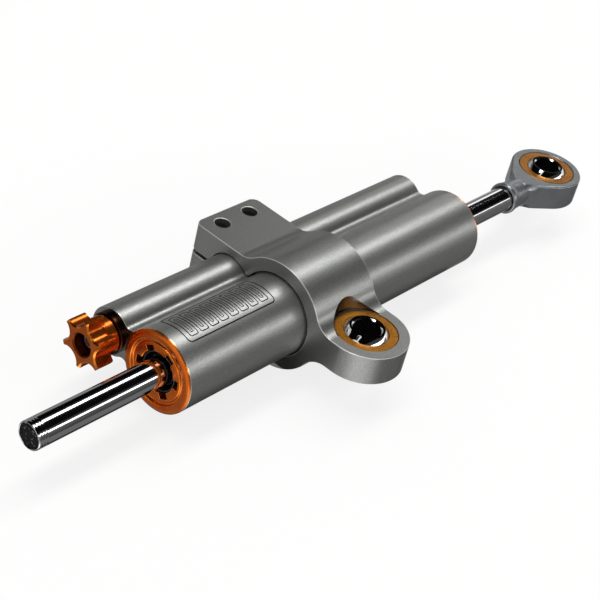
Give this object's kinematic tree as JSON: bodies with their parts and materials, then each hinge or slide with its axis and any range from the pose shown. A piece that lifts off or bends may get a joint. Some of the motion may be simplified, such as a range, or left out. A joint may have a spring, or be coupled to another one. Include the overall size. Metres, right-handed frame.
{
  "type": "steering damper",
  "caption": "Through-rod hydraulic steering damper with a side adjuster tube, a clamp with a spherical bearing and a rod end.",
  "frame": {"origin": "centre of the clamp's spherical bearing", "axes": "+X along the rod towards the rod end, +Y from the bearing towards the body, +Z along the bearing's bore"},
  "size_m": [0.2957, 0.0863, 0.0414],
  "materials": {
    "body_aluminium": "bead blasted and clear anodised",
    "clamp_aluminium": "bead blasted, grey anodised",
    "orange_aluminium": "turned and anodised orange",
    "black_aluminium": "anodised black",
    "rubber": "moulded",
    "bronze": "sintered bronze",
    "hard_chrome": "polished",
    "bearing_steel": "polished",
    "plain_steel": "turned",
    "black_steel": "black oxide",
    "forged_steel": "zinc plated, satin",
    "ptfe": "moulded",
    "black_plastic": "moulded"
  },
  "bodies": {
    "cylinder": {"clamp_race": "bronze", "clamp_bracket": "clamp_aluminium", "clamp_liner": "black_plastic", "clamp_screw_front": "black_steel", "clamp_screw_rear": "black_steel", "cylinder_body": "body_aluminium", "port_plug_front": "plain_steel", "port_plug_rear": "plain_steel", "front_end_cap": "orange_aluminium", "front_seal_head": "black_aluminium", "front_wiper": "rubber", "front_rod_seal": "rubber", "front_guide_bush": "bronze", "front_head_oring": "rubber", "rear_end_cap": "orange_aluminium", "rear_seal_head": "black_aluminium", "rear_wiper": "rubber", "rear_rod_seal": "rubber", "rear_guide_bush": "bronze", "rear_head_oring": "rubber", "adjuster_housing": "black_aluminium", "housing_oring": "rubber", "spindle_oring": "rubber", "needle_guide": "bronze", "valve_seat": "plain_steel", "detent_ball": "bearing_steel", "detent_spring": "plain_steel", "reservoir_plug": "black_aluminium", "plug_oring": "rubber", "bleed_screw": "plain_steel"},
    "mount_ball": {"clamp_ball": "bearing_steel"},
    "knob": {"adjuster_knob": "orange_aluminium", "knob_screw": "plain_steel", "adjuster_spindle": "plain_steel"},
    "needle": {"adjuster_needle": "plain_steel"},
    "reservoir_float": {"reservoir_piston": "body_aluminium", "reservoir_oring": "rubber"},
    "piston_band": {"piston_ring": "ptfe"},
    "rod": {"piston": "body_aluminium", "front_shims": "plain_steel", "rear_shims": "plain_steel", "front_circlip": "black_steel", "rear_circlip": "black_steel", "piston_rod": "hard_chrome", "rod_tip_plug": "black_plastic", "rod_end_housing": "forged_steel", "rod_end_race": "bronze"},
    "eye_ball": {"rod_end_ball": "bearing_steel"}
  },
  "joints": [
    {"name": "bracket_swivel", "type": "hinge", "parent": "mount_ball", "child": "cylinder", "pos_m": [0, 0, 0], "axis": [0, 0, 1], "continuous": true},
    {"name": "rod_stroke", "type": "slide", "parent": "cylinder", "child": "piston_band", "axis": [1, 0, 0], "range_m": [-0.034, 0.034]},
    {"name": "rod_spin", "type": "hinge", "parent": "piston_band", "child": "rod", "pos_m": [0, 0.0289, 0], "axis": [1, 0, 0], "continuous": true},
    {"name": "eye_tilt", "type": "hinge", "parent": "rod", "child": "eye_ball", "pos_m": [0.1554, 0.0289, 0], "axis": [0, 1, 0], "range_deg": [-13, 13]},
    {"name": "knob_turn", "type": "hinge", "parent": "cylinder", "child": "knob", "pos_m": [-0.08, 0.0516, 0.00105], "axis": [1, 0, 0], "range_deg": [-540, 540]},
    {"name": "needle_feed", "type": "slide", "parent": "cylinder", "child": "needle", "axis": [1, 0, 0], "range_m": [-0.00151, 0.00151]},
    {"name": "reservoir_slide", "type": "slide", "parent": "cylinder", "child": "reservoir_float", "axis": [1, 0, 0], "range_m": [-0.005, 0.005]}
  ],
  "couplings": [
    {"joint": "needle_feed", "follows": "knob_turn", "m_per_rad": 0.00015915}
  ]
}
